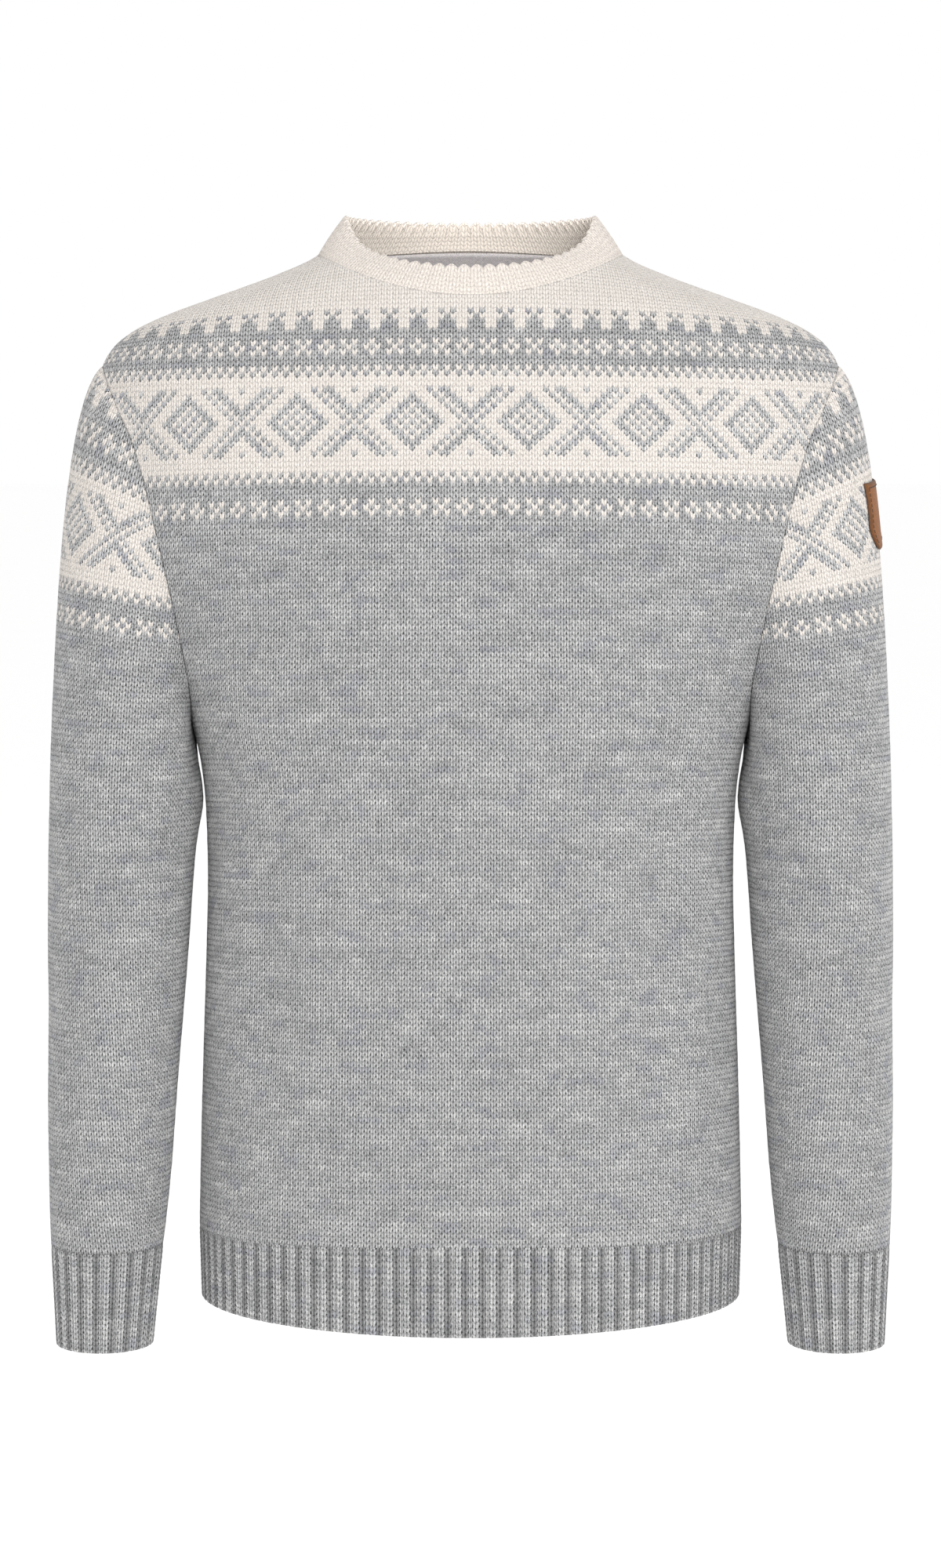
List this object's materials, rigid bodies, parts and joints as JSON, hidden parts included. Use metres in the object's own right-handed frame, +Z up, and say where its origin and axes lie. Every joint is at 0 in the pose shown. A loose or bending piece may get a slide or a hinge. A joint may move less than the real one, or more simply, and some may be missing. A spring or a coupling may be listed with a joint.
{
  "type": "nordic yoke sweater",
  "caption": "Long-sleeved knitted sweater with a cream yoke, cross and diamond bands, ribbed hem and cuffs and a picot collar, filled out as worn and hollow inside.",
  "frame": {"origin": "middle of the neck, level with the wearer's shoulders, which carry the sweater", "axes": "+X to the wearer's left, -Y to the wearer's front, +Z up"},
  "size_m": [0.5368, 0.2318, 0.7123],
  "materials": {
    "heather_wool": "soft matte wool knit, grey heather below a cream and grey patterned yoke",
    "rib_wool": "matte wool rib, darker grey heather",
    "cream_wool": "soft matte cream wool knit",
    "facing_cloth": "smooth lilac-grey facing cloth",
    "badge_leather": "satin brown leather with a stitched edge"
  },
  "bodies": {
    "root": {"front_panel": "heather_wool", "back_panel": "heather_wool", "front_hem_rib": "rib_wool", "back_hem_rib": "rib_wool", "left_sleeve": "heather_wool", "right_sleeve": "heather_wool", "left_cuff": "rib_wool", "right_cuff": "rib_wool", "collar": "cream_wool", "neck_facing": "facing_cloth", "sleeve_badge": "badge_leather"}
  },
  "joints": []
}
